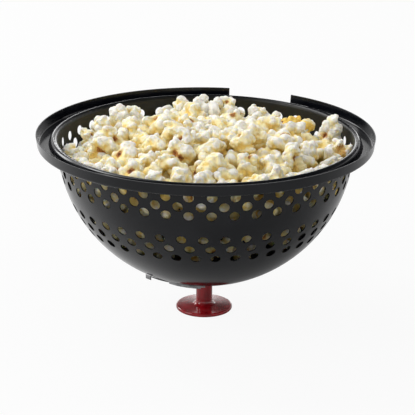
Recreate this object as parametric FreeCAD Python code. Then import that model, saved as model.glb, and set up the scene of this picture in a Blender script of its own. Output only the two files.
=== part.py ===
"""Perforated dome lid of a stovetop popcorn popper, standing on its knob as a serving bowl.

The frame is +Z up, with the origin under the middle of the knob's flat face. The bowl's open
side looks up, and the gap in its skirt is at the rear, +Y. All sizes are in millimetres.
"""
import FreeCAD, Part
import os
from math import acos, asin, atan2, cos, degrees, radians, sin, sqrt, tan

V = FreeCAD.Vector

# ---- driving dimensions ----------------------------------------------------------------
SHEET = 0.8              # pressed steel of the bowl

DOME_R = 118.4           # outside of the hemisphere
CROWN_FLAT_R = 14.0      # flat pressed at the pole, where the knob is bolted on
STAND_HEIGHT = 28.2      # from the worktop to that flat

RIM_R = 135.0            # outside of the skirt at its open edge
SKIRT_HEIGHT = 9.0       # open edge down to the underside of the flange
SKIRT_DRAFT = 1.1        # how much the skirt narrows over its height
SKIRT_BEND_R = 1.5       # inside bend between skirt and flange
RIM_RISE = 4.2           # open edge above the hemisphere's equator
BEAD_WIDTH = 6.6         # rolled bead between bowl and flange
BEAD_DROP = 2.6          # crest of the bead below the open edge
BEAD_TILT = 12.0         # how much the bead's top falls outwards, degrees
BEAD_START = 1.8         # the dome goes over into the bead this far below its equator
BEAD_BEND_R = 3.0        # outside bend along the bead's inner shoulder
BEAD_EDGE_R = 3.6        # and along its outer shoulder
BEAD_FOOT_R = 1.0        # inside bend where the bead meets the flange

NOTCH_FROM = 8.6         # gap in the skirt, degrees clockwise from the rear, seen from above
NOTCH_TO = 32.6
NOTCH_MARGIN = 0.4       # the cut starts this far inside the bend

HOLE_D = 7.8             # popcorn holes
UPPER_COUNT = 42         # holes in each row of the upper band
LOWER_COUNT = 41
# each row of holes: degrees below the equator, and turn in hole pitches from the front
UPPER_ROWS = ((5.4, 0.30), (9.3, -0.17), (13.0, 0.29))
LOWER_ROWS = ((24.1, -0.07), (29.1, 0.28), (34.3, 0.56))

VENT_D = 4.2             # steam holes in the crown, under the swinging cover
VENT_RING_R = 32.0
VENT_COUNT = 3
VENT_PITCH = 11.0        # degrees between neighbouring steam holes

COVER_SHEET = 0.8        # swinging vent cover
COVER_HUB_R = 12.0       # flat hub around the pivot
COVER_REACH = 45.0       # radius of the leaf's outer edge
COVER_FROM = 222.5       # the leaf's two straight edges, degrees from +X
COVER_TO = 271.0
FINGER_REACH = 63.0      # radius of the finger lift's tip
FINGER_WIDTH = 5.0
FINGER_TURN = 2.2        # how far the tip is turned away from the bowl
FINGER_LIP = 1.2         # thickness of the turned lip
PAN_LIFT = 1.2           # raised pan of the leaf over the steam holes
PAN_EDGE = 3.5           # plain border left around the pan

SCREW_D = 5.0            # M5 pan head screw through the crown
SCREW_HEAD_D = 9.6
SCREW_HEAD_H = 3.4
SCREW_LENGTH = 18.0
RECESS_SPAN = 5.2        # cross recess in the head
RECESS_SLOT = 1.1
RECESS_DEPTH = 2.0
WASHER_D = 15.0          # flat washer under the head, inside the bowl
WASHER_T = 1.0
BUSH_D = 8.4             # sleeve that the cover turns on
SLIP_WASHER_D = 20.0     # thin washer between crown and cover
SLIP_WASHER_T = 0.5
SPRING_D = 12.4          # conical spring washer between cover and knob
SPRING_T = 0.4
SPRING_HEIGHT = 1.0      # as clamped
INSERT_D = 8.0           # brass insert in the knob
INSERT_LENGTH = 13.0

KNOB_DISC_R = 22.9       # round foot
KNOB_EDGE_H = 3.0
KNOB_CROWN_H = 0.7       # how much the disc rises towards the stem
KNOB_EDGE_ROUND = 1.2
STEM_D = 13.2
STEM_FLARE_R = 9.3       # where the stem's flare meets the disc
STEM_FLARE_H = 4.6
STEM_TOP_ROUND = 0.5
KNOB_BASE_RELIEF = 0.8   # hollow under the foot, inside its rim
KNOB_RELIEF_R = 17.0

# ---- clearances ------------------------------------------------------------------------
RUN_GAP = 0.06           # cover on its sleeve, radial
BOLT_GAP = 0.15          # screw in washer, sleeve and crown, radial
THREAD_GAP = 0.03        # screw in its insert, radial
SEAT_GAP = 0.03          # insert in the knob, radial
TIP_GAP = 1.5            # screw tip above the end of its blind hole
OVERCUT = 5.0            # cutters run this far past what they cut

# ---- heights and radii that follow ------------------------------------------------------
EQUATOR_Z = STAND_HEIGHT + sqrt(DOME_R**2 - CROWN_FLAT_R**2)
RIM_Z = EQUATOR_Z + RIM_RISE
FLANGE_Z = RIM_Z - SKIRT_HEIGHT            # underside of the flange
BEAD_Z = RIM_Z - BEAD_DROP
INNER_R = DOME_R - SHEET
CROWN_TOP = STAND_HEIGHT + SHEET           # the flat seen from inside the bowl
NOTCH_R = RIM_R - SKIRT_DRAFT - SHEET - SKIRT_BEND_R - NOTCH_MARGIN

HUB_TOP = STAND_HEIGHT - SLIP_WASHER_T
HUB_BASE = HUB_TOP - COVER_SHEET
COVER_INNER_R = sqrt(COVER_HUB_R**2 + (EQUATOR_Z - HUB_TOP)**2)
COVER_OUTER_R = COVER_INNER_R + COVER_SHEET
KNOB_TOP = HUB_BASE - SPRING_HEIGHT
SEAT_R = BUSH_D / 2 + RUN_GAP              # bore of the cover and of the washers on the sleeve
SHANK_R = SCREW_D / 2
THROUGH_R = SHANK_R + BOLT_GAP
HEAD_Z = CROWN_TOP + WASHER_T
SCREW_TIP = HEAD_Z - SCREW_LENGTH
INSERT_BASE = KNOB_TOP - INSERT_LENGTH
POCKET_BASE = min(INSERT_BASE, SCREW_TIP - TIP_GAP)


# ---- helpers ---------------------------------------------------------------------------
def polar(radius, angle, z=0.0):
    """Point at a radius and an angle in degrees from +X."""
    return V(radius * cos(radians(angle)), radius * sin(radians(angle)), z)


def section(r, z):
    """Point of a section to be turned about Z."""
    return V(r, 0, z)


def offsetPath(points, distance):
    """The open path moved sideways, to the left of its direction, corners kept sharp."""
    lines = []
    for a, b in zip(points, points[1:]):
        run = (b - a).normalize()
        side = V(-run.z, 0, run.x) * distance
        lines.append((a + side, run))
    moved = [lines[0][0]]
    for (a, u), (b, w) in zip(lines, lines[1:]):
        cross = u.x * w.z - u.z * w.x
        gap = b - a
        moved.append(a + u * ((gap.x * w.z - gap.z * w.x) / cross))
    moved.append(lines[-1][0] + points[-1] - points[-2])
    return moved


def roundedEdges(points, radii):
    """Edges of an open path whose inner corners are rounded with the given radii."""
    edges = []
    start = points[0]
    for before, corner, after, radius in zip(points, points[1:], points[2:], radii):
        u = (before - corner).normalize()
        w = (after - corner).normalize()
        half = acos(max(-1.0, min(1.0, u.dot(w)))) / 2
        setback = radius * cos(half) / sin(half)
        centre = corner + (u + w).normalize() * (radius / sin(half))
        near = corner + u * setback
        far = corner + w * setback
        middle = centre + (corner - centre).normalize() * radius
        if (near - start).Length > 1e-6:
            edges.append(Part.LineSegment(start, near).toShape())
        edges.append(Part.Arc(near, middle, far).toShape())
        start = far
    edges.append(Part.LineSegment(start, points[-1]).toShape())
    return edges


def line(a, b):
    return Part.LineSegment(a, b).toShape()


def turned(edges):
    """Solid turned about Z from the edges of a closed section."""
    face = Part.Face(Part.Wire(Part.__sortEdges__(edges)))
    return face.revolve(V(0, 0, 0), V(0, 0, 1), 360)


def turnedFrom(points):
    """Solid turned about Z from the straight-sided section through the points."""
    return turned([line(a, b) for a, b in zip(points, points[1:] + points[:1])])


def ring(outer, inner, base, height):
    """Flat ring or sleeve about Z."""
    body = Part.makeCylinder(outer, height, V(0, 0, base))
    bore = Part.makeCylinder(inner, height + 2 * OVERCUT, V(0, 0, base - OVERCUT))
    return body.cut(bore)


def wedge(start, stop, inner, outer, base, height):
    """Sector of a flat ring between two angles in degrees, counter-clockwise from +X."""
    middle = (start + stop) / 2
    edges = [
        Part.Arc(polar(outer, start, base), polar(outer, middle, base), polar(outer, stop, base)).toShape(),
        line(polar(outer, stop, base), polar(inner, stop, base)),
        Part.Arc(polar(inner, stop, base), polar(inner, middle, base), polar(inner, start, base)).toShape(),
        line(polar(inner, start, base), polar(outer, start, base)),
    ]
    return Part.Face(Part.Wire(edges)).extrude(V(0, 0, height))


def domeShell(inner, outer, edgeRadius, innerEdge=0.0):
    """Part of a spherical shell round the bowl's centre, out to a radius from the axis."""
    ball = Part.makeSphere(outer, V(0, 0, EQUATOR_Z))
    hollow = Part.makeSphere(inner, V(0, 0, EQUATOR_Z))
    reach = Part.makeCylinder(edgeRadius, EQUATOR_Z + OVERCUT, V(0, 0, -OVERCUT))
    shell = ball.cut(hollow).common(reach)
    if innerEdge:
        core = Part.makeCylinder(innerEdge, EQUATOR_Z + 2 * OVERCUT, V(0, 0, -OVERCUT))
        shell = shell.cut(core)
    return shell


def drill(latitude, azimuth, diameter):
    """Cutter square to the dome, at degrees below the equator and counter-clockwise from the front."""
    out = V(sin(radians(azimuth)) * cos(radians(latitude)),
            -cos(radians(azimuth)) * cos(radians(latitude)),
            -sin(radians(latitude)))
    start = V(0, 0, EQUATOR_Z) + out * (INNER_R - OVERCUT)
    return Part.makeCylinder(diameter / 2, SHEET + 2 * OVERCUT, start, out)


# ---- bowl ------------------------------------------------------------------------------
def bowlBlank():
    """The pressing before its holes: crown, hemisphere, bead, flange and skirt."""
    floor = FLANGE_Z + SHEET
    bead = INNER_R + BEAD_WIDTH
    lean = asin(BEAD_START / INNER_R)          # of the wall where the bead begins
    tilt = radians(BEAD_TILT)
    wall = section(INNER_R * cos(lean), EQUATOR_Z - BEAD_START)
    up = section(sin(lean), cos(lean))
    square = section(sin(tilt), cos(tilt))     # square to the bead's top
    straight = (BEAD_Z - BEAD_BEND_R * (1 - sin(lean)) - wall.z) / cos(lean)
    centre = wall + up * straight + section(cos(lean), -sin(lean)) * BEAD_BEND_R
    shoulder = wall + up * ((BEAD_BEND_R - (wall - centre).dot(square)) / up.dot(square))
    upper = [wall,
             shoulder,
             section(bead, shoulder.z - (bead - shoulder.x) * tan(tilt)),
             section(bead, floor),
             section(RIM_R - SHEET - SKIRT_DRAFT, floor),
             section(RIM_R - SHEET, RIM_Z)]
    lower = offsetPath(upper, -SHEET)
    lower[-1] = section(RIM_R, RIM_Z)
    upperBends = [BEAD_BEND_R, BEAD_EDGE_R, BEAD_FOOT_R, SKIRT_BEND_R]
    lowerBends = [BEAD_BEND_R - SHEET, BEAD_EDGE_R - SHEET, BEAD_FOOT_R + SHEET, SKIRT_BEND_R + SHEET]

    def domeArc(radius, height):
        """From the crown's flat, at this height, up to where the bead begins."""
        start = asin((EQUATOR_Z - height) / radius)
        middle = (start + lean) / 2
        return Part.Arc(section(radius * cos(start), height),
                        section(radius * cos(middle), EQUATOR_Z - radius * sin(middle)),
                        section(radius * cos(lean), EQUATOR_Z - radius * sin(lean))).toShape()

    inside = domeArc(INNER_R, CROWN_TOP)
    outside = domeArc(DOME_R, STAND_HEIGHT)
    insideEdge = section(sqrt(INNER_R**2 - (EQUATOR_Z - CROWN_TOP)**2), CROWN_TOP)
    outsideEdge = section(CROWN_FLAT_R, STAND_HEIGHT)
    edges = [line(section(THROUGH_R, CROWN_TOP), insideEdge), inside]
    edges += roundedEdges(upper, upperBends)
    edges += [line(upper[-1], lower[-1])]
    edges += roundedEdges(lower, lowerBends)
    edges += [outside,
              line(outsideEdge, section(THROUGH_R, STAND_HEIGHT)),
              line(section(THROUGH_R, STAND_HEIGHT), section(THROUGH_R, CROWN_TOP))]
    return turned(edges)


def bowlShell():
    """The pressing with its notch, popcorn holes and steam holes."""
    cutters = [wedge(90 - NOTCH_TO, 90 - NOTCH_FROM, NOTCH_R, RIM_R + OVERCUT,
                     FLANGE_Z - OVERCUT, SKIRT_HEIGHT + 2 * OVERCUT)]
    for rows, count in ((UPPER_ROWS, UPPER_COUNT), (LOWER_ROWS, LOWER_COUNT)):
        pitch = 360 / count
        for latitude, turn in rows:
            cutters += [drill(latitude, (i + turn) * pitch, HOLE_D) for i in range(count)]
    middle = (COVER_FROM + COVER_TO) / 2 + 90
    latitude = degrees(acos(VENT_RING_R / DOME_R))
    for i in range(VENT_COUNT):
        azimuth = middle + (i - (VENT_COUNT - 1) / 2) * VENT_PITCH
        cutters.append(drill(latitude, azimuth, VENT_D))
    return bowlBlank().cut(cutters)


# ---- vent cover ------------------------------------------------------------------------
def leafPrism(margin):
    """Upright prism over the leaf's sector, drawn in from all its edges by a margin."""
    half = radians(COVER_TO - COVER_FROM) / 2
    apex = polar(margin / sin(half), (COVER_FROM + COVER_TO) / 2)
    far = 2 * COVER_REACH
    outline = Part.makePolygon([apex, apex + polar(far, COVER_FROM), apex + polar(far, COVER_TO), apex])
    sector = Part.Face(outline).extrude(V(0, 0, EQUATOR_Z))
    return sector.common(ring(COVER_REACH - margin, COVER_HUB_R + margin, 0, EQUATOR_Z))


def fingerPrism():
    """Upright prism over the finger lift, which runs along the leaf's first edge."""
    strip = Part.makeBox(FINGER_REACH + OVERCUT, FINGER_WIDTH, EQUATOR_Z)
    strip.rotate(V(0, 0, 0), V(0, 0, 1), COVER_FROM)
    return strip


def ventCover():
    """Leaf that hugs the dome, with a raised pan, a finger lift and a flat hub."""
    plate = domeShell(COVER_INNER_R, COVER_OUTER_R, FINGER_REACH, COVER_HUB_R)
    panOuter = domeShell(COVER_INNER_R, COVER_OUTER_R + PAN_LIFT, COVER_REACH)
    panInner = domeShell(COVER_INNER_R, COVER_INNER_R + PAN_LIFT, COVER_REACH)
    tip = domeShell(COVER_INNER_R, COVER_OUTER_R + FINGER_TURN, FINGER_REACH, FINGER_REACH - FINGER_LIP)
    leaf = plate.common(leafPrism(0.0)).fuse(panOuter.common(leafPrism(PAN_EDGE)))
    leaf = leaf.cut(panInner.common(leafPrism(PAN_EDGE + COVER_SHEET)))
    finger = plate.fuse(tip).common(fingerPrism())
    hub = ring(COVER_HUB_R, SEAT_R, HUB_BASE, COVER_SHEET)
    return leaf.fuse([finger, hub]).removeSplitter()


# ---- fasteners -------------------------------------------------------------------------
def footScrew():
    head = Part.makeCylinder(SCREW_HEAD_D / 2, SCREW_HEAD_H, V(0, 0, HEAD_Z))
    head = head.makeFillet(SCREW_HEAD_H * 0.45, [head.Edges[0]])
    shank = Part.makeCylinder(SHANK_R, SCREW_LENGTH, V(0, 0, SCREW_TIP))
    screw = head.fuse(shank)
    top = HEAD_Z + SCREW_HEAD_H
    for along, across in ((RECESS_SPAN, RECESS_SLOT), (RECESS_SLOT, RECESS_SPAN)):
        corner = V(-along / 2, -across / 2, top - RECESS_DEPTH)
        screw = screw.cut(Part.makeBox(along, across, RECESS_DEPTH + OVERCUT, corner))
    return screw.removeSplitter()


def springWasher():
    """Thin cone pressed between the cover's hub and the knob."""
    inner = SEAT_R
    outer = SPRING_D / 2
    return turnedFrom([section(inner, HUB_BASE - SPRING_T), section(outer, KNOB_TOP),
                       section(outer, KNOB_TOP + SPRING_T), section(inner, HUB_BASE)])


# ---- knob ------------------------------------------------------------------------------
def footKnob():
    """Round foot with a slim stem that flares into it, bored for its insert."""
    crown = KNOB_EDGE_H + KNOB_CROWN_H
    stem = STEM_D / 2
    slope = atan2(KNOB_CROWN_H, KNOB_DISC_R - STEM_FLARE_R)
    edge = KNOB_EDGE_ROUND
    side = [section(KNOB_RELIEF_R, 0),
            section(KNOB_DISC_R, 0),
            section(KNOB_DISC_R, KNOB_EDGE_H),
            section(STEM_FLARE_R, crown)]
    rim = roundedEdges(side, [edge * cos(slope), edge])
    flareTop = section(stem, crown + STEM_FLARE_H)
    sag = section(stem + (STEM_FLARE_R - stem) * 0.22, crown + STEM_FLARE_H * 0.36)
    shoulder = KNOB_TOP - STEM_TOP_ROUND
    pocket = INSERT_D / 2 + SEAT_GAP
    tip = SHANK_R + BOLT_GAP
    outline = rim + [
        Part.Arc(section(STEM_FLARE_R, crown), sag, flareTop).toShape(),
        line(flareTop, section(stem, shoulder)),
        line(section(stem, shoulder), section(stem - STEM_TOP_ROUND, KNOB_TOP)),
        line(section(stem - STEM_TOP_ROUND, KNOB_TOP), section(pocket, KNOB_TOP)),
        line(section(pocket, KNOB_TOP), section(pocket, INSERT_BASE)),
        line(section(pocket, INSERT_BASE), section(tip, INSERT_BASE)),
        line(section(tip, INSERT_BASE), section(tip, POCKET_BASE)),
        line(section(tip, POCKET_BASE), section(0, POCKET_BASE)),
        line(section(0, POCKET_BASE), section(0, KNOB_BASE_RELIEF)),
        line(section(0, KNOB_BASE_RELIEF), section(KNOB_RELIEF_R - KNOB_BASE_RELIEF, KNOB_BASE_RELIEF)),
        line(section(KNOB_RELIEF_R - KNOB_BASE_RELIEF, KNOB_BASE_RELIEF), section(KNOB_RELIEF_R, 0)),
    ]
    return turned(outline)


# ---- assembly --------------------------------------------------------------------------
pieces = {
    "bowl_shell": bowlShell(),
    "foot_screw": footScrew(),
    "screw_washer": ring(WASHER_D / 2, THROUGH_R, CROWN_TOP, WASHER_T),
    "slip_washer": ring(SLIP_WASHER_D / 2, SEAT_R, HUB_TOP, SLIP_WASHER_T),
    "vent_cover": ventCover(),
    "pivot_bush": ring(BUSH_D / 2, THROUGH_R, KNOB_TOP, STAND_HEIGHT - KNOB_TOP),
    "spring_washer": springWasher(),
    "knob_insert": ring(INSERT_D / 2, SHANK_R + THREAD_GAP, INSERT_BASE, INSERT_LENGTH),
    "foot_knob": footKnob(),
}

os.makedirs("parts", exist_ok=True)
for name, shape in pieces.items():
    shape.exportStep("parts/" + name + ".step")
    box = shape.BoundBox
    print(f"{name:14} valid {shape.isValid()} solids {len(shape.Solids)} volume {shape.Volume:9.1f}"
          f" z {box.ZMin:7.2f} {box.ZMax:7.2f} x {box.XMin:7.1f} {box.XMax:7.1f}")
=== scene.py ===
import math

import bmesh
import bpy
import numpy as np
from mathutils import Matrix, Vector


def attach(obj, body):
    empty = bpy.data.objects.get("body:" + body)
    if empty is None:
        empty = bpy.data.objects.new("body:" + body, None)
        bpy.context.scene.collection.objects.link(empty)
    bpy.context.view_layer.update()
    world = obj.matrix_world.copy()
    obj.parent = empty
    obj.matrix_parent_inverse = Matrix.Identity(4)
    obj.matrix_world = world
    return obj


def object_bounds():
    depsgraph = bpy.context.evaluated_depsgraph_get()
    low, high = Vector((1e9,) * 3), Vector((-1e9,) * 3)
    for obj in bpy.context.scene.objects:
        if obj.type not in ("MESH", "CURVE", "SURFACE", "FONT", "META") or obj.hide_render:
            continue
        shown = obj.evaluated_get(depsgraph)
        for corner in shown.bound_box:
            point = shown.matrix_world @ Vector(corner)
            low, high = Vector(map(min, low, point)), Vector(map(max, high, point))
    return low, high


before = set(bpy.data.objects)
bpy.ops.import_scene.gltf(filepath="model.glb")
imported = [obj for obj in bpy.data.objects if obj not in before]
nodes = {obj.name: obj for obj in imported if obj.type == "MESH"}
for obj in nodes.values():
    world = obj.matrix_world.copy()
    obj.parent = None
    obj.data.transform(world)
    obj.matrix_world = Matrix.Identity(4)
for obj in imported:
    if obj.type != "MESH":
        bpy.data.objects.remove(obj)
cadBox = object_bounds()
print("frame loaded:", len(nodes), "nodes")

# the bowl's measures that the popcorn and the finishes follow, in metres
rimRise = .0042  # from the dome's equator up to the rim
dome = dict(
    centreZ=round(cadBox[1][2] - rimRise, 6),
    roomRadius=.1170,  # what lies in the bowl stays inside this
    beadTop=.1501,  # and above this it may lean out over the bead
)


class Wire:  # one value, vector or colour on its way from a node's socket
    def __init__(self, finish, socket):
        self.finish = finish
        self.socket = socket

    def work(self, operation, first, second):
        return self.finish.add("ShaderNodeMath", {"operation": operation}, [first, second])

    def __add__(self, other):
        return self.work("ADD", self, other)

    def __radd__(self, other):
        return self.work("ADD", other, self)

    def __sub__(self, other):
        return self.work("SUBTRACT", self, other)

    def __rsub__(self, other):
        return self.work("SUBTRACT", other, self)

    def __mul__(self, other):
        return self.work("MULTIPLY", self, other)

    def __rmul__(self, other):
        return self.work("MULTIPLY", other, self)


class Finish:  # a material or world, and the one method that adds a node to it
    def __init__(self, owner):
        owner.use_nodes = True
        self.owner = owner
        self.tree = owner.node_tree
        self.tree.nodes.clear()

    def add(self, kind, settings=None, sockets=(), out=0):
        made = self.tree.nodes.new(kind)
        for key, value in (settings or {}).items():
            setattr(made, key, value)
        pairs = sockets.items() if isinstance(sockets, dict) else enumerate(sockets)
        for key, value in pairs:
            if isinstance(value, Wire):
                self.tree.links.new(value.socket, made.inputs[key])
            else:
                made.inputs[key].default_value = value
        if made.outputs:
            return Wire(self, made.outputs[out])

    def place(self, out="Object"):
        return self.add("ShaderNodeTexCoord", out=out)

    def noise(self, place, scale, detail=3.0, rough=.5):
        sockets = {"Vector": place, "Scale": scale, "Detail": detail, "Roughness": rough}
        return self.add("ShaderNodeTexNoise", sockets=sockets)

    def blend(self, amount, first, second):  # two colours
        sockets = {0: amount, 6: first, 7: second}
        return self.add("ShaderNodeMix", {"data_type": "RGBA"}, sockets, out=2)

    def ease(self, value, low, high):  # 0 at low, 1 at high
        sockets = {"Value": value, "From Min": low, "From Max": high}
        return self.add("ShaderNodeMapRange", {"interpolation_type": "SMOOTHSTEP"}, sockets)

    def stretched(self, place, scale):
        return self.add("ShaderNodeVectorMath", {"operation": "MULTIPLY"}, [place, scale])

    def bump(self, height, depth, strength):
        sockets = {"Height": height, "Distance": depth, "Strength": strength}
        return self.add("ShaderNodeBump", sockets=sockets)

    def surface(self, shader):
        self.add("ShaderNodeOutputMaterial", sockets={"Surface": shader})
        return self.owner


def newFinish(name):
    return Finish(bpy.data.materials.new(name))


# black stove enamel: glossy outside, duller and slightly olive on the food side
enamel = dict(
    outside=(.0015, .0020, .0035, 1),
    outsideDusty=(.0040, .0046, .0066, 1),
    inside=(.0060, .0063, .0042, 1),
    insideWorn=(.0105, .0106, .0074, 1),
    shine=.34,
    roughOutside=.13,
    roughInside=.38,
    roughDust=.05,
    roughGrain=(.03, .10),  # outside, inside
    cloudScale=38,
    dusty=(.42, .70),  # the clouds' values where dust begins and is full
    worn=(.40, .66),
    grainScale=420,
    facing=(-.02, -.05),  # a face that turns in this far is on the food side
    foodRadius=(.1195, .1180),  # and lies within these
    peelScale=420,
    peelDepth=.00003,
)


def enamelFinish(look):
    f = newFinish("black_enamel")
    place = f.place()
    fromCentre = f.add("ShaderNodeVectorMath", {"operation": "SUBTRACT"},
                       [place, (0, 0, dome["centreZ"])])
    facing = f.add("ShaderNodeVectorMath", {"operation": "DOT_PRODUCT"},
                   [f.place("Normal"), fromCentre], out="Value")
    flat = f.stretched(place, (1, 1, 0))
    radius = f.add("ShaderNodeVectorMath", {"operation": "LENGTH"}, [flat], out="Value")
    foodSide = f.ease(facing, *look["facing"]) * f.ease(radius, *look["foodRadius"])
    cloud = f.noise(place, look["cloudScale"], 4.0, .6)
    grain = f.noise(place, look["grainScale"], 3.0, .6)
    dust = f.ease(cloud, *look["dusty"])
    outside = f.blend(dust, look["outside"], look["outsideDusty"])
    inside = f.blend(f.ease(cloud, *look["worn"]), look["inside"], look["insideWorn"])
    rough = look["roughOutside"] + dust * look["roughDust"] + grain * look["roughGrain"][0]
    roughIn = look["roughInside"] + grain * look["roughGrain"][1]
    peel = f.bump(f.noise(place, look["peelScale"], 2.0), look["peelDepth"], .5)
    return f.surface(f.add("ShaderNodeBsdfPrincipled", sockets={
        "Base Color": f.blend(foodSide, outside, inside),
        "Roughness": rough + foodSide * (roughIn - rough),
        "Normal": peel,
        "Specular IOR Level": look["shine"],
    }))


# cherry red moulding: deep colour under a polished skin
cherry = dict(
    body=(.340, .0070, .0120, 1),
    deep=(.180, .0026, .0055, 1),
    swirlScale=95,
    swirl=(.35, .68),
    rough=.10,
    roughHandled=.10,  # more where fingers have been
    handlingScale=260,
    handled=(.50, .75),
    waveScale=120,
    waveDepth=.00004,
    coat=.45,
    coatRough=.05,
)


def cherryFinish(look):
    f = newFinish("cherry_red")
    place = f.place()
    swirl = f.noise(f.stretched(place, (1, 1, .35)), look["swirlScale"], 5.0, .6)
    handling = f.noise(place, look["handlingScale"], 4.0, .65)
    wave = f.bump(f.noise(place, look["waveScale"], 2.0), look["waveDepth"], .5)
    return f.surface(f.add("ShaderNodeBsdfPrincipled", sockets={
        "Base Color": f.blend(f.ease(swirl, *look["swirl"]), look["body"], look["deep"]),
        "Roughness": look["rough"] + f.ease(handling, *look["handled"]) * look["roughHandled"],
        "Normal": wave,
        "Coat Weight": look["coat"],
        "Coat Roughness": look["coatRough"],
    }))


# metals with fine working lines, each metal's own stretched along one axis
workedMetal = dict(
    cloudScale=160,
    dulled=(.38, .70),
    roughLines=.16,
    lineDepth=.00002,
)
zinc = dict(
    bright=(.62, .62, .63, 1),
    dull=(.40, .40, .41, 1),
    rough=.30,
    lines=(900, 40, 900),
)
agedZinc = dict(
    bright=(.34, .34, .345, 1),
    dull=(.15, .15, .155, 1),
    rough=.36,
    lines=(60, 900, 900),
)
brass = dict(
    bright=(.78, .60, .30, 1),
    dull=(.55, .38, .16, 1),
    rough=.25,
    lines=(900, 900, 60),
)


def metalFinish(name, look):
    f = newFinish(name)
    place = f.place()
    lines = f.noise(f.stretched(place, look["lines"]), 1.0, 3.0, .6)
    cloud = f.noise(place, workedMetal["cloudScale"], 4.0, .6)
    dulled = f.ease(cloud, *workedMetal["dulled"])
    return f.surface(f.add("ShaderNodeBsdfPrincipled", sockets={
        "Base Color": f.blend(dulled, look["bright"], look["dull"]),
        "Metallic": 1.0,
        "Roughness": look["rough"] + lines * workedMetal["roughLines"],
        "Normal": f.bump(lines, workedMetal["lineDepth"], .4),
    }))


nylon = dict(
    fresh=(.80, .78, .72, 1),
    yellowed=(.70, .67, .60, 1),
    cloudScale=240,
    rough=.42,
    roughCloud=.15,
    grainScale=2200,
    grainDepth=.00001,
    glow=.1,
    glowDepth=.002,
)


def nylonFinish(look):
    f = newFinish("nylon")
    place = f.place()
    cloud = f.noise(place, look["cloudScale"], 3.0)
    return f.surface(f.add("ShaderNodeBsdfPrincipled", sockets={
        "Base Color": f.blend(cloud, look["fresh"], look["yellowed"]),
        "Roughness": look["rough"] + cloud * look["roughCloud"],
        "Normal": f.bump(f.noise(place, look["grainScale"], 2.0), look["grainDepth"], .5),
        "Subsurface Weight": look["glow"],
        "Subsurface Scale": look["glowDepth"],
    }))


def dress(node, material):
    slots = nodes[node].data.materials
    slots.clear()
    slots.append(material)


dress("bowl_shell", enamelFinish(enamel))
dress("foot_knob", cherryFinish(cherry))
dress("vent_cover", metalFinish("cover_zinc", agedZinc))
screwZinc = metalFinish("screw_zinc", zinc)
for name in ("foot_screw", "screw_washer", "pivot_bush", "spring_washer"):
    dress(name, screwZinc)
dress("slip_washer", nylonFinish(nylon))
dress("knob_insert", metalFinish("turned_brass", brass))
print("finishes on the metal, knob and fixings")


# one popped kernel: a knot with wings, each a fan of puffed lobes, folded all over
kernel = dict(
    seed=11,
    kinds=20,
    faces=3400,
    leanKinds=8,  # lighter ones, for where little of them shows
    leanFaces=600,
    reach=.0125,  # knot to lobe tips
    knot=.40,  # share of the reach
    stretch=((.85, .78, .66), (1.15, 1.0, .92)),  # least and most along three axes
    root=.62,  # where a wing's first ball lies, as a share of its lobes' place
    waver=.12,  # radians
    lobeOut=(.90, 1.18),
    lobeSize=(.68, 1.02),
    squash=(.62, 1.22),
    flower=dict(wings=(4, 7), lobes=(2, 4), fan=(.35, .75), out=(.48, .64), size=(.32, .44),
                folds=.0100, depth=.0046),
    smooth=dict(wings=(3, 6), lobes=(2, 4), fan=(.40, .90), out=(.42, .62), size=(.36, .52),
                folds=.0135, depth=.0060),
    flowerShare=.30,
    voxel=.0007,
    foldWidth=.0011,
    deepFrom=.86,  # shares of the reach: the depth mark starts here
    deepSpan=.40,  # and is full this much further in
    hullFacing=.45,  # a scrap of hull sits where this cosine or more faces its way
    hullSpread=.0028,
)


def unit(rng):
    v = rng.normal(size=3)
    return v / np.linalg.norm(v)


def spreadDirections(rng, count):
    chosen = [unit(rng)]
    while len(chosen) < count:
        tries = [unit(rng) for _ in range(10)]
        chosen.append(min(tries, key=lambda d: max(float(d @ c) for c in chosen)))
    return chosen


def kernelBalls(look, kind, rng):
    # middles and radii, the knot first, then wing by wing
    reach = look["reach"]
    shape = rng.uniform(*look["stretch"])
    groups = [[(np.zeros(3), reach * look["knot"])]]
    for d in spreadDirections(rng, int(rng.integers(*kind["wings"]))):
        side = np.cross(d, unit(rng))
        side = side / np.linalg.norm(side)
        size = reach * rng.uniform(*kind["size"])
        out = reach * rng.uniform(*kind["out"])
        fan = rng.uniform(*kind["fan"])
        group = [(d * shape * out * look["root"], size)]
        for turn in np.linspace(-fan, fan, int(rng.integers(*kind["lobes"]))):
            turn = turn + rng.uniform(-look["waver"], look["waver"])
            way = d * math.cos(turn) + side * math.sin(turn)
            middle = way * shape * out * rng.uniform(*look["lobeOut"])
            group.append((middle, size * rng.uniform(*look["lobeSize"])))
        groups.append(group)
    return groups


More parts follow.
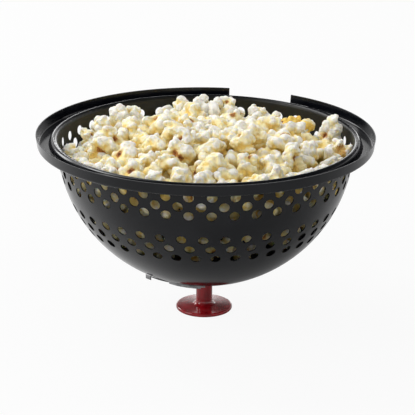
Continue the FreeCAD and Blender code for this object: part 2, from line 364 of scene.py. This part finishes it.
def puffedSkin(look, kind, groups, rng, number):
    # the balls grown together, softened and folded, as points and triangles
    bm = bmesh.new()
    for group in groups:
        for middle, size in group:
            squash = Matrix.Diagonal((*rng.uniform(*look["squash"], 3), 1))
            bmesh.ops.create_icosphere(bm, subdivisions=2, radius=size,
                                       matrix=Matrix.Translation(middle) @ squash)
    mesh = bpy.data.meshes.new("kernel%02d" % number)
    bm.to_mesh(mesh)
    bm.free()
    made = bpy.data.objects.new(mesh.name, mesh)
    bpy.context.collection.objects.link(made)
    skin = made.modifiers.new("skin", "REMESH")
    skin.mode = "VOXEL"
    skin.voxel_size = look["voxel"]
    soft = made.modifiers.new("soft", "SMOOTH")
    soft.factor = .5
    soft.iterations = 2
    billow = bpy.data.textures.new("billow%02d" % number, "CLOUDS")
    billow.noise_basis = "VORONOI_F1"
    billow.noise_scale = kind["folds"]
    billow.noise_depth = 2
    folded = made.modifiers.new("folded", "DISPLACE")
    folded.texture = billow
    folded.strength = -kind["depth"]  # florets stand out, creases lie in
    folded.mid_level = .42
    graph = bpy.context.evaluated_depsgraph_get()
    full = len(made.evaluated_get(graph).data.polygons) * 2
    fewer = made.modifiers.new("fewer", "DECIMATE")
    fewer.ratio = min(1.0, look["faces"] / full)
    fewer.use_collapse_triangulate = True
    graph = bpy.context.evaluated_depsgraph_get()
    done = made.evaluated_get(graph).data
    points = np.empty(len(done.vertices) * 3)
    done.vertices.foreach_get("co", points)
    done.calc_loop_triangles()
    faces = np.empty(len(done.loop_triangles) * 3, int)
    done.loop_triangles.foreach_get("vertices", faces)
    bpy.data.objects.remove(made)
    bpy.data.meshes.remove(mesh)
    bpy.data.textures.remove(billow)
    return points.reshape(-1, 3), faces.reshape(-1, 3)


def hollows(points, faces):
    # 1 in the creases, -1 on the crowns
    corners = points[faces]
    across = np.cross(corners[:, 1] - corners[:, 0], corners[:, 2] - corners[:, 0])
    normals, around, count = np.zeros_like(points), np.zeros_like(points), np.zeros(len(points))
    for k in range(3):
        np.add.at(normals, faces[:, k], across)
        np.add.at(around, faces[:, k], corners[:, k - 1] + corners[:, k - 2])
        np.add.at(count, faces[:, k], 2)
    normals /= np.maximum(np.linalg.norm(normals, axis=1), 1e-12)[:, None]
    bend = ((around / count[:, None] - points) * normals).sum(1)
    for _ in range(2):
        spread = np.zeros(len(points))
        for k in range(3):
            np.add.at(spread, faces[:, k], bend[faces[:, k - 1]] + bend[faces[:, k - 2]])
        bend = (bend + spread / count) / 2
    return np.clip(bend / (2 * np.std(bend)), -1, 1)


def makeKernel(look, rng, number):
    kind = look["flower"] if rng.uniform() < look["flowerShare"] else look["smooth"]
    groups = kernelBalls(look, kind, rng)
    points, faces = puffedSkin(look, kind, groups, rng, number)

    # how near each point lies to the fold between two wings, and how deep in the kernel: marks
    # along which the finish paints shade
    gaps = np.stack([
        np.min([np.linalg.norm(points - m, axis=1) - s for m, s in group], axis=0)
        for group in groups
    ])
    gaps.sort(axis=0)
    fold = np.exp(-((gaps[1] - gaps[0]) / look["foldWidth"]) ** 2)
    away = np.linalg.norm(points, axis=1)
    far = away / look["reach"]
    deep = np.clip((look["deepFrom"] - far) / look["deepSpan"], 0, 1)

    # spots where the hull is left
    husk = np.zeros(len(points))
    ways = [unit(rng), unit(rng)]
    for towards in (*ways, -ways[0]):
        facing = points @ towards / np.maximum(away, 1e-6)
        seat = points[np.argmin(np.where(facing > look["hullFacing"], far, 9))]
        near = np.linalg.norm(points - seat, axis=1) / look["hullSpread"]
        husk = np.maximum(husk, np.exp(-near ** 2))
    return points, faces, dict(fold=fold, deep=deep, husk=husk, hollow=hollows(points, faces))


rng = np.random.default_rng(kernel["seed"])
kinds = [makeKernel(kernel, rng, n) for n in range(kernel["kinds"])]
lean = dict(kernel, faces=kernel["leanFaces"])
leanKinds = [makeKernel(lean, rng, n) for n in range(kernel["leanKinds"])]
print("kernels:", len(kinds) + len(leanKinds), "kinds")

# how the popcorn lies in the bowl
heap = dict(
    seed=5,
    size=(1.0, 1.32),  # times a kernel's own
    middle=.1580,  # height of the heap's middle
    radius=.105,
    fall=.0190,  # drop from the middle to the radius
    frontRise=.0085,
    # kernels along the far crest, in mm: x, y, top, reach, butter (2: the hull's inside shows)
    crest=(
        (-106, 2, 139.8, 10.2, .1), (-96.5, 27, 145.0, 9.2, .3), (-85.9, 44, 151.0, 10.4, .2),
        (-72.5, 60, 156.3, 11.6, .1), (-61.5, 68, 152.7, 10.0, .3), (-46.5, 66, 137.0, 8.6, .1),
        (-31.3, 76, 146.7, 9.6, .2), (-21.5, 82, 157.0, 10.6, .4), (-3.9, 84, 158.3, 10.6, .1),
        (7, 80, 157.6, 9.8, .3), (19.4, 82, 157.9, 9.4, .1), (28.6, 80, 146.2, 6.4, .1),
        (44, 76, 152.8, 10.6, .3), (57, 66, 149.9, 10.0, .3), (63.8, 60, 145.8, 8.6, 1),
        (73.3, 54, 149.4, 9.6, 1), (82.1, 48, 148.6, 9.6, 1), (103.4, 30, 157.6, 13.0, .2),
        (107.5, -13, 150.8, 13.4, 2),
    ),
    crestSlope=.4,  # a crest kernel's top is found along this slope up from the front
    frontRadius=.103,
    frontTurns=(196, 350, 10.5),  # degrees: first, last, step
    leaning=slice(3, 7),  # front kernels that lean on the bead
    leanLift=.0035,
    edge=.107,
    gap=.0205,
    sunk=.0105,  # how far a kernel's middle lies under the heap's surface
    uneven=.0035,
    tints=.9,  # loose kernels stay short of buttered
    underCrest=(.96, .93, .0165),  # a second crest row: shares of x and y, and its drop
    second=dict(edge=.105, gap=.0150, sunk=.0180),
    third=dict(edge=.092, gap=.0160, sunk=.0310, size=1.45),
    wall=(
        dict(inset=.0110, gap=.0126, low=-19, high=-3),  # degrees from the equator
        dict(inset=.0160, gap=.0142, low=-48, high=-20),
    ),
    wallSize=(.88, 1.08),
    wallClear=.0115,  # the wall's kernels stay this far under the heap's surface
    wallShade=.3,
    huskAmounts=(0.0, .35, .8, 1.0),
    huskShares=(.38, .22, .22, .18),
    shellFace=(-.0015, -.0075, -.0005),  # from the kernel's middle to the open hull
    shellWeights=(1, .3, .38),
    shellSpread=.0052,
    shadeFrom=.004,
    shadeSpan=.014,
)


def heapTop(x, y):
    r = math.hypot(x, y) / heap["radius"]
    front = heap["frontRise"] * max(0.0, -y / heap["radius"]) ** 2
    return heap["middle"] - heap["fall"] * r ** 3 + front


def scatterDisc(rng, edge, gap, taken=(), tries=9000):
    chosen = np.array([t[:2] for t in taken]).reshape(-1, 2)
    first = len(chosen)
    for _ in range(tries):
        p = rng.uniform(-edge, edge, 2)
        if p @ p > edge * edge:
            continue
        if len(chosen) and ((chosen - p) ** 2).sum(1).min() < gap * gap:
            continue
        chosen = np.vstack([chosen, p])
    return chosen[first:]


def scatterWall(rng, layer, tries=9000):
    radius = dome["roomRadius"] - layer["inset"]
    low, high = (math.sin(math.radians(layer[end])) for end in ("low", "high"))
    chosen = np.empty((0, 3))
    for _ in range(tries):
        up = rng.uniform(low, high)
        turn = rng.uniform(0, 2 * math.pi)
        out = math.sqrt(1 - up * up)
        p = radius * np.array([out * math.cos(turn), out * math.sin(turn), up])
        if len(chosen) and ((chosen - p) ** 2).sum(1).min() < layer["gap"] ** 2:
            continue
        chosen = np.vstack([chosen, p])
    return chosen + (0, 0, dome["centreZ"])


def randomTurn(rng):
    q = rng.normal(size=4)
    w, x, y, z = q / np.linalg.norm(q)
    return np.array([
        [1 - 2 * (y * y + z * z), 2 * (x * y - z * w), 2 * (x * z + y * w)],
        [2 * (x * y + z * w), 1 - 2 * (x * x + z * z), 2 * (y * z - x * w)],
        [2 * (x * z - y * w), 2 * (y * z + x * w), 1 - 2 * (x * x + y * y)],
    ])


def keptInside(points):
    # pressed against the wall where the dome or the bead would be
    room = dome["roomRadius"]
    centre = np.array([0, 0, dome["centreZ"]])
    out = points - centre
    far = np.linalg.norm(out, axis=1)
    low = points[:, 2] < dome["centreZ"]
    ball = low & (far > room)
    points[ball] = centre + out[ball] * (room / far[ball])[:, None]
    flat = np.linalg.norm(points[:, :2], axis=1)
    tube = ~low & (points[:, 2] < dome["beadTop"]) & (flat > room)
    points[tube, :2] *= (room / flat[tube])[:, None]
    return points


def pileMesh(name, points, faces, marks):
    mesh = bpy.data.meshes.new(name)
    mesh.vertices.add(len(points))
    mesh.vertices.foreach_set("co", points.ravel().astype(np.float32))
    mesh.loops.add(faces.size)
    mesh.loops.foreach_set("vertex_index", faces.ravel().astype(np.int32))
    mesh.polygons.add(len(faces))
    mesh.polygons.foreach_set("loop_start", np.arange(0, faces.size, 3, dtype=np.int32))
    mesh.update(calc_edges=True)
    mesh.shade_smooth()
    for mark, values in marks.items():
        layer = mesh.attributes.new(mark, "FLOAT", "POINT")
        layer.data.foreach_set("value", values.astype(np.float32))
    return mesh


def pile(name, spots, shapes, rng, material, size, shade=1.0):
    # a spot is x, y, z and, where they aren't left to chance, size and butter
    allPoints, allFaces, allMarks, start = [], [], [], 0
    for spot in spots:
        points, faces, marks = shapes[int(rng.integers(len(shapes)))]
        grown = rng.uniform(*size) if len(spot) < 4 else spot[3]
        tint = rng.uniform() * heap["tints"] if len(spot) < 5 else spot[4]
        placed = points @ randomTurn(rng).T * grown + spot[:3]
        if len(spot) > 4:  # lowered until its top is where the spot says
            rise = placed[:, 2] + heap["crestSlope"] * (placed[:, 1] - spot[1])
            placed[:, 2] += spot[2] - rise.max()
        placed = keptInside(placed)
        husky = rng.choice(heap["huskAmounts"], p=heap["huskShares"])
        shell = np.zeros(len(placed))
        if tint > 1:
            tint = .5
            face = placed.mean(0) + np.array(heap["shellFace"])
            off = (placed - face) ** 2 @ heap["shellWeights"]
            shell = np.exp(-off / heap["shellSpread"] ** 2)
        # painted shade: the further a kernel lies under the heap's surface, the more its under
        # mark turns it cream and gold; shade scales this
        level = heapTop(*placed.mean(0)[:2]) - heap["shadeFrom"]
        allPoints.append(placed)
        allFaces.append(faces + start)
        allMarks.append(dict(
            marks,
            husk=marks["husk"] * husky,
            tint=np.full(len(placed), tint),
            under=np.clip((level - placed[:, 2]) / heap["shadeSpan"], 0, 1) * shade,
            shell=shell,
        ))
        start += len(placed)
    together = {mark: np.concatenate([row[mark] for row in allMarks]) for mark in allMarks[0]}
    mesh = pileMesh(name, np.concatenate(allPoints), np.concatenate(allFaces), together)
    mesh.materials.append(material)
    made = bpy.data.objects.new(name, mesh)
    bpy.context.collection.objects.link(made)
    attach(made, "bowl")


# popped corn: white crowns, scraps of toasted hull, here and there butter, and painted warm
# shade: cream to gold in the folds, creases, deep parts, down-facing sides and lower in the heap
puffed = dict(
    white=(.83, .815, .75, 1),
    cream=(.88, .78, .455, 1),
    gold=(.86, .63, .195, 1),
    butter=(.84, .58, .12, 1),
    shell=(.62, .40, .13, 1),
    toast=(.42, .18, .050, 1),
    husk=(.17, .050, .012, 1),
    paintedShade=dict(fold=.20, deep=.35, hollow=.40, under=.80),  # painted shade: how much each mark adds towards cream and gold
    sideShade=.40,
    sideways=(.75, -.35),  # painted shade on the sides: how far up a face looks where it begins and is full
    yellowTint=.58,
    creamy=(.56, 1.10),  # from where to where the painted shade, the tint and the clouds turn it creamy
    golden=(1.08, 1.80),
    cloudScale=190,
    butterScale=95,
    buttered=(.46, .58),
    streaks=(700, 700, 260),
    scraps=(1, 1.5, .6),  # how the toasted scraps are drawn out
    scrapScale=420,
    tanned=(.12, .52),
    toasted=(.42, .58),
    burnt=(.70, .88),
    creaseScale=240,
    creaseWidth=.045,
    creaseShare=.8,
    wrinkleScale=620,
    wrinkleDepth=.0008,
    rough=.68,
    shine=.18,
    glow=.26,
    glowReach=(1.0, .70, .34),
    glowDepth=.0022,
)


def popcornFinish(look):
    f = newFinish("popped_corn")
    place = f.place()
    mark = {
        name: f.add("ShaderNodeAttribute", {"attribute_name": name}, out="Fac")
        for name in ("fold", "deep", "husk", "hollow", "tint", "under", "shell")
    }
    cloud = f.noise(place, look["cloudScale"], 3.0, .6)
    # painted shade: faces looking sideways or down, folds, creases, deep parts and kernels lower
    # in the heap turn cream, then gold; the butter tint and the clouds add the kernels' own
    # yellow
    up = f.add("ShaderNodeSeparateXYZ", sockets=[f.place("Normal")], out="Z")
    shadeAndTint = f.ease(up, *look["sideways"]) * look["sideShade"]
    shadeAndTint = shadeAndTint + mark["tint"] * mark["tint"] * look["yellowTint"] + cloud
    for name, share in look["paintedShade"].items():
        shadeAndTint = shadeAndTint + mark[name] * share
    colour = f.blend(f.ease(shadeAndTint, *look["creamy"]), look["white"], look["cream"])
    colour = f.blend(f.ease(shadeAndTint, *look["golden"]), colour, look["gold"])

    patch = f.noise(place, look["butterScale"], 2.0) + mark["deep"] * .3
    buttery = f.ease(mark["tint"], .93, .98) * f.ease(patch, *look["buttered"])
    colour = f.blend(buttery * .9, colour, look["butter"])

    streak = f.noise(f.stretched(place, look["streaks"]), 1.0, 4.0, .65)
    shelly = f.ease(mark["shell"] + streak * .7, .62, .84)
    colour = f.blend(shelly, colour, look["shell"])
    colour = f.blend(shelly * f.ease(streak, .50, .62), colour, look["toast"])

    ragged = f.noise(f.stretched(place, look["scraps"]), look["scrapScale"], 4.0, .7) - .5
    tanned = f.ease(mark["husk"] + ragged * .7, *look["tanned"])
    colour = f.blend(tanned * .75, colour, look["shell"])
    toasted = f.ease(mark["husk"] + ragged * 1.1, *look["toasted"])
    colour = f.blend(toasted, colour, look["toast"])
    burnt = f.ease(mark["husk"] + ragged * 1.4, *look["burnt"])
    colour = f.blend(burnt, colour, look["husk"])

    folds = f.noise(place, look["creaseScale"], 3.0, .55) - .5
    fromCrease = f.add("ShaderNodeMath", {"operation": "ABSOLUTE"}, [folds])
    crease = f.ease(fromCrease, 0, look["creaseWidth"])
    wrinkles = f.noise(place, look["wrinkleScale"], 4.0, .6) + crease * look["creaseShare"]
    return f.surface(f.add("ShaderNodeBsdfPrincipled", sockets={
        "Base Color": colour,
        "Roughness": look["rough"] + cloud * .15 - toasted * .25,
        "Normal": f.bump(wrinkles, look["wrinkleDepth"], .85),
        "Specular IOR Level": look["shine"],
        "Subsurface Weight": look["glow"],
        "Subsurface Radius": look["glowReach"],
        "Subsurface Scale": look["glowDepth"],
    }))


rng = np.random.default_rng(heap["seed"])
corn = popcornFinish(puffed)
crest = [(x / 1000, y / 1000, z / 1000, reach / 1000 / kernel["reach"], butter)
         for x, y, z, reach, butter in heap["crest"]]
front = [(heap["frontRadius"] * math.cos(a), heap["frontRadius"] * math.sin(a))
         for a in np.radians(np.arange(*heap["frontTurns"]))]
loose = front + list(scatterDisc(rng, heap["edge"], heap["gap"], crest + front))
lift = rng.uniform(-1, 1, len(loose)) * heap["uneven"]
lift[heap["leaning"]] = heap["leanLift"]
topSpots = crest + [(x, y, heapTop(x, y) - heap["sunk"] + up) for (x, y), up in zip(loose, lift)]
pile("popcorn_top", topSpots, kinds, rng, corn, heap["size"])

second, third = heap["second"], heap["third"]
alongX, alongY, drop = heap["underCrest"]
underSpots = [(x, y, heapTop(x, y) - second["sunk"])
              for x, y in scatterDisc(rng, second["edge"], second["gap"])]
underSpots += [(x * alongX, y * alongY, z - drop) for x, y, z, _, _ in crest]
underSpots += [(x, y, heapTop(x, y) - third["sunk"], third["size"])
               for x, y in scatterDisc(rng, third["edge"], third["gap"])]
pile("popcorn_under", underSpots, leanKinds, rng, corn, heap["size"])

wallSpots = np.vstack([scatterWall(rng, layer) for layer in heap["wall"]])
wallSpots = [p for p in wallSpots if p[2] + heap["wallClear"] < heapTop(p[0], p[1])]
pile("popcorn_wall", wallSpots, leanKinds, rng, corn, heap["wallSize"], heap["wallShade"])
print("popcorn:", len(topSpots), len(underSpots), len(wallSpots))

# a pale floor that reads as white paper, and keeps the shadow
studio = dict(
    floorSize=6.0,
    floorColour=(.52, .52, .52, 1),
    paperShare=.92,  # how much of the floor is plain white to the eye
    level=.84,  # the even light all round
    room=.10,  # what stands above the white sweep
    sweep=(.29, .41),  # white up to 17 degrees above the floor, the room from 24
    sheen=.95,  # painted reflection: white that only gloss finds on a patch of the floor, at the left
    sheenAt=(-.36, .20, 0),
    sheenReach=(.46, .18),
)
bm = bmesh.new()
half = studio["floorSize"] / 2
corners = [bm.verts.new((x * half, y * half, 0)) for x, y in ((-1, -1), (1, -1), (1, 1), (-1, 1))]
bm.faces.new(corners)
floorMesh = bpy.data.meshes.new("floor")
bm.to_mesh(floorMesh)
bm.free()
floor = bpy.data.objects.new("floor", floorMesh)
bpy.context.collection.objects.link(floor)


def seenWhite(f, gloss=1.0):  # 1 for what the eye, gloss and glass see
    ray = {
        name: f.add("ShaderNodeLightPath", out=name)
        for name in ("Is Camera Ray", "Is Glossy Ray", "Is Transmission Ray")
    }
    total = ray["Is Camera Ray"] + ray["Is Transmission Ray"] + ray["Is Glossy Ray"] * gloss
    return f.add("ShaderNodeMath", {"operation": "MINIMUM"}, [total, 1.0])


f = newFinish("floor_paper")
# painted reflection: near sheenAt the floor shows white to gloss as well as to the eye
aside = f.add("ShaderNodeVectorMath", {"operation": "DISTANCE"},
              [f.place(), studio["sheenAt"]], out="Value")
sheen = f.ease(aside, *studio["sheenReach"]) * studio["sheen"]
paper = f.add("ShaderNodeBsdfDiffuse", sockets={"Color": studio["floorColour"]})
white = f.add("ShaderNodeEmission", sockets={"Color": (1, 1, 1, 1), "Strength": 1.0})
share = seenWhite(f, sheen) * studio["paperShare"]
floorMesh.materials.append(f.surface(
    f.add("ShaderNodeMixShader", sockets=[share, paper, white])
))

world = bpy.data.worlds.new("studio")
bpy.context.scene.world = world
f = Finish(world)
up = f.add("ShaderNodeSeparateXYZ", sockets=[f.place("Generated")], out="Z")
sweep = 1.0 - f.ease(up, *studio["sweep"]) * (1 - studio["room"])
level = studio["level"] + seenWhite(f) * (sweep - studio["level"])
f.add("ShaderNodeOutputWorld", sockets={
    "Surface": f.add("ShaderNodeBackground", sockets={"Color": (1, 1, 1, 1), "Strength": level}),
})

# soft lights: places, what they point at and sizes in metres, power in watts
softboxes = dict(
    key=dict(at=(-.90, .86, 1.40), towards=(0, 0, .12), size=(1.05, 1.00), watts=8.5),
    core=dict(at=(-1.02, .72, 1.50), towards=(0, 0, .12), size=(.46, .38), watts=5.0),
    low=dict(at=(-1.31, 1.15, .84), towards=(-.1, 0, .15), size=(.66, .50), watts=7.5),
    rear=dict(at=(0, 1.9, .42), towards=(0, 0, .14), size=(1.3, .26), watts=2.8),
    left=dict(at=(-1.15, -.40, .80), towards=(0, 0, .1), size=(.6, .7), watts=6.5),
)


def softbox(name, look):
    lamp = bpy.data.lights.new(name, "AREA")
    lamp.shape = "RECTANGLE"
    lamp.size, lamp.size_y = look["size"]
    lamp.energy = look["watts"]
    made = bpy.data.objects.new(name, lamp)
    bpy.context.collection.objects.link(made)
    made.location = look["at"]
    aim = Vector(look["towards"]) - Vector(look["at"])
    made.rotation_euler = aim.to_track_quat("-Z", "Y").to_euler()


for name, look in softboxes.items():
    softbox("softbox_" + name, look)
print("studio lit")

eye = dict(
    at=(0, -1.4134, .5772),
    towards=(.002, 0, .0867),
    lens=160.8,  # mm
    film=36,
    roll=.6,  # degrees
    farEnd=30,
)
camera = bpy.data.cameras.new("camera")
camera.lens = eye["lens"]
camera.sensor_width = eye["film"]
camera.clip_end = eye["farEnd"]
cameraObject = bpy.data.objects.new("camera", camera)
bpy.context.collection.objects.link(cameraObject)
aim = Vector(eye["towards"]) - Vector(eye["at"])
turned = aim.to_track_quat("-Z", "Y").to_matrix().to_4x4()
rolled = turned @ Matrix.Rotation(math.radians(eye["roll"]), 4, "Z")
cameraObject.matrix_world = Matrix.Translation(eye["at"]) @ rolled
bpy.context.scene.camera = cameraObject
bpy.context.scene.view_settings.view_transform = "Standard"
